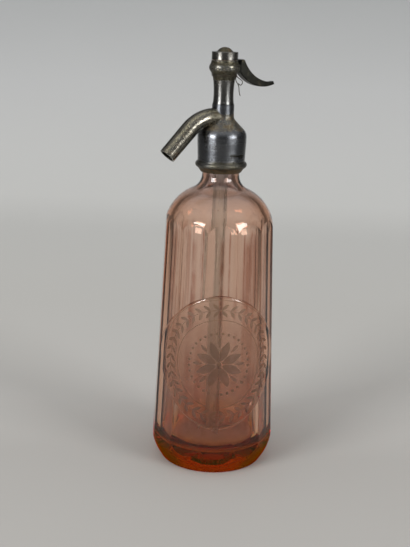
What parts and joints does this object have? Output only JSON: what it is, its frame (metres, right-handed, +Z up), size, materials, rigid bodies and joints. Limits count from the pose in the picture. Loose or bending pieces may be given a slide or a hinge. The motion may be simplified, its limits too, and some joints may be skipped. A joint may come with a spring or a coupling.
{
  "type": "soda siphon",
  "caption": "Faceted glass soda siphon with a pewter head: pressing the horn-shaped lever lifts a sprung valve rod and opens the spout.",
  "frame": {"origin": "middle of the flat foot, on the bottle's axis", "axes": "+Z up along the bottle, the spout points along -X, the lever along +X and its hinge axis along +Y"},
  "size_m": [0.0954, 0.093, 0.3135],
  "materials": {
    "tinted_glass": "tinted pressed glass",
    "clear_glass": "clear drawn glass",
    "tin": "dull tin",
    "seal_rubber": "old black rubber",
    "brass": "turned brass",
    "pewter_collar": "dark worn pewter",
    "pewter_head": "dark worn pewter",
    "pewter_spout": "dark worn pewter",
    "pewter_barrel": "dark worn pewter",
    "pewter_cap": "dark worn pewter",
    "packing_leather": "greased leather",
    "spring_steel": "spring wire",
    "pin_steel": "plain steel pin",
    "dark_lever": "blackened pewter",
    "old_wire": "tarnished iron wire"
  },
  "bodies": {
    "siphon": {"bottle": "tinted_glass", "dip_tube": "clear_glass", "tube_ferrule": "tin", "lower_gasket": "seal_rubber", "upper_gasket": "seal_rubber", "neck_ring_left": "brass", "neck_ring_right": "brass", "neck_collar": "pewter_collar", "head_body": "pewter_head", "spout": "pewter_spout", "valve_seat": "brass", "stem_packing": "packing_leather", "packing_nut": "brass", "valve_barrel": "pewter_barrel", "cap_washer": "packing_leather", "spring_cap": "pewter_cap", "lever_pin": "pin_steel", "seal_wire": "old_wire"},
    "lever": {"lever": "dark_lever"},
    "piston": {"valve_rod": "brass", "valve_washer": "seal_rubber", "washer_nut": "brass", "lift_collar": "brass", "valve_spring": "spring_steel"}
  },
  "joints": [
    {"name": "lever_hinge", "type": "hinge", "parent": "siphon", "child": "lever", "pos_m": [0.008, 0, 0.2985], "axis": [0, 1, 0], "range_deg": [0, 18], "stiffness_Nm_per_rad": 1.5, "springref_deg": -17.19},
    {"name": "piston_lift", "type": "slide", "parent": "siphon", "child": "piston", "axis": [0, 0, 1], "range_m": [0, 0.0027], "deforming": ["valve_spring"]}
  ],
  "couplings": [
    {"joint": "piston_lift", "follows": "lever_hinge", "m_per_rad": 0.0085}
  ]
}
